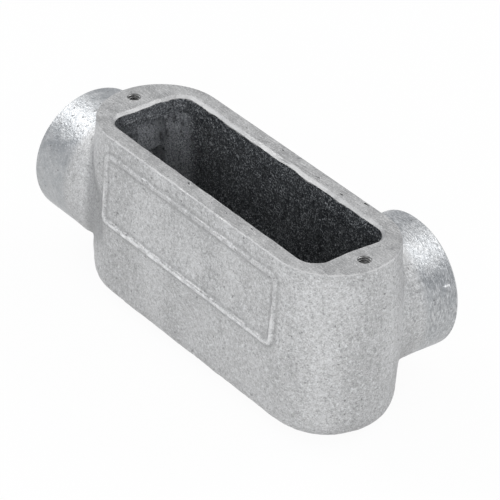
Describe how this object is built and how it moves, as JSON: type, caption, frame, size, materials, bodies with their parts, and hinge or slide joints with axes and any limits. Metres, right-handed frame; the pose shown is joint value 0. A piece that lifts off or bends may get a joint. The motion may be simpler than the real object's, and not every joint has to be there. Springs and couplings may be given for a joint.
{
  "type": "conduit body",
  "caption": "Deep stadium-shaped cast conduit body with an open cover seat on top, one threaded hub in line with its long axis and one threaded hub out of its side.",
  "frame": {"origin": "centre of the flat back, under the centre of the cover opening", "axes": "+X along the body away from the end hub, whose mouth faces -X; +Y out of the side hub's mouth; +Z out of the cover opening, square to the flat back"},
  "size_m": [0.1309, 0.054, 0.0545],
  "materials": {
    "casting": "satin hot-dipped zinc over malleable cast iron, darker and rougher inside"
  },
  "bodies": {
    "root": {"body_casting": "casting"}
  },
  "joints": []
}
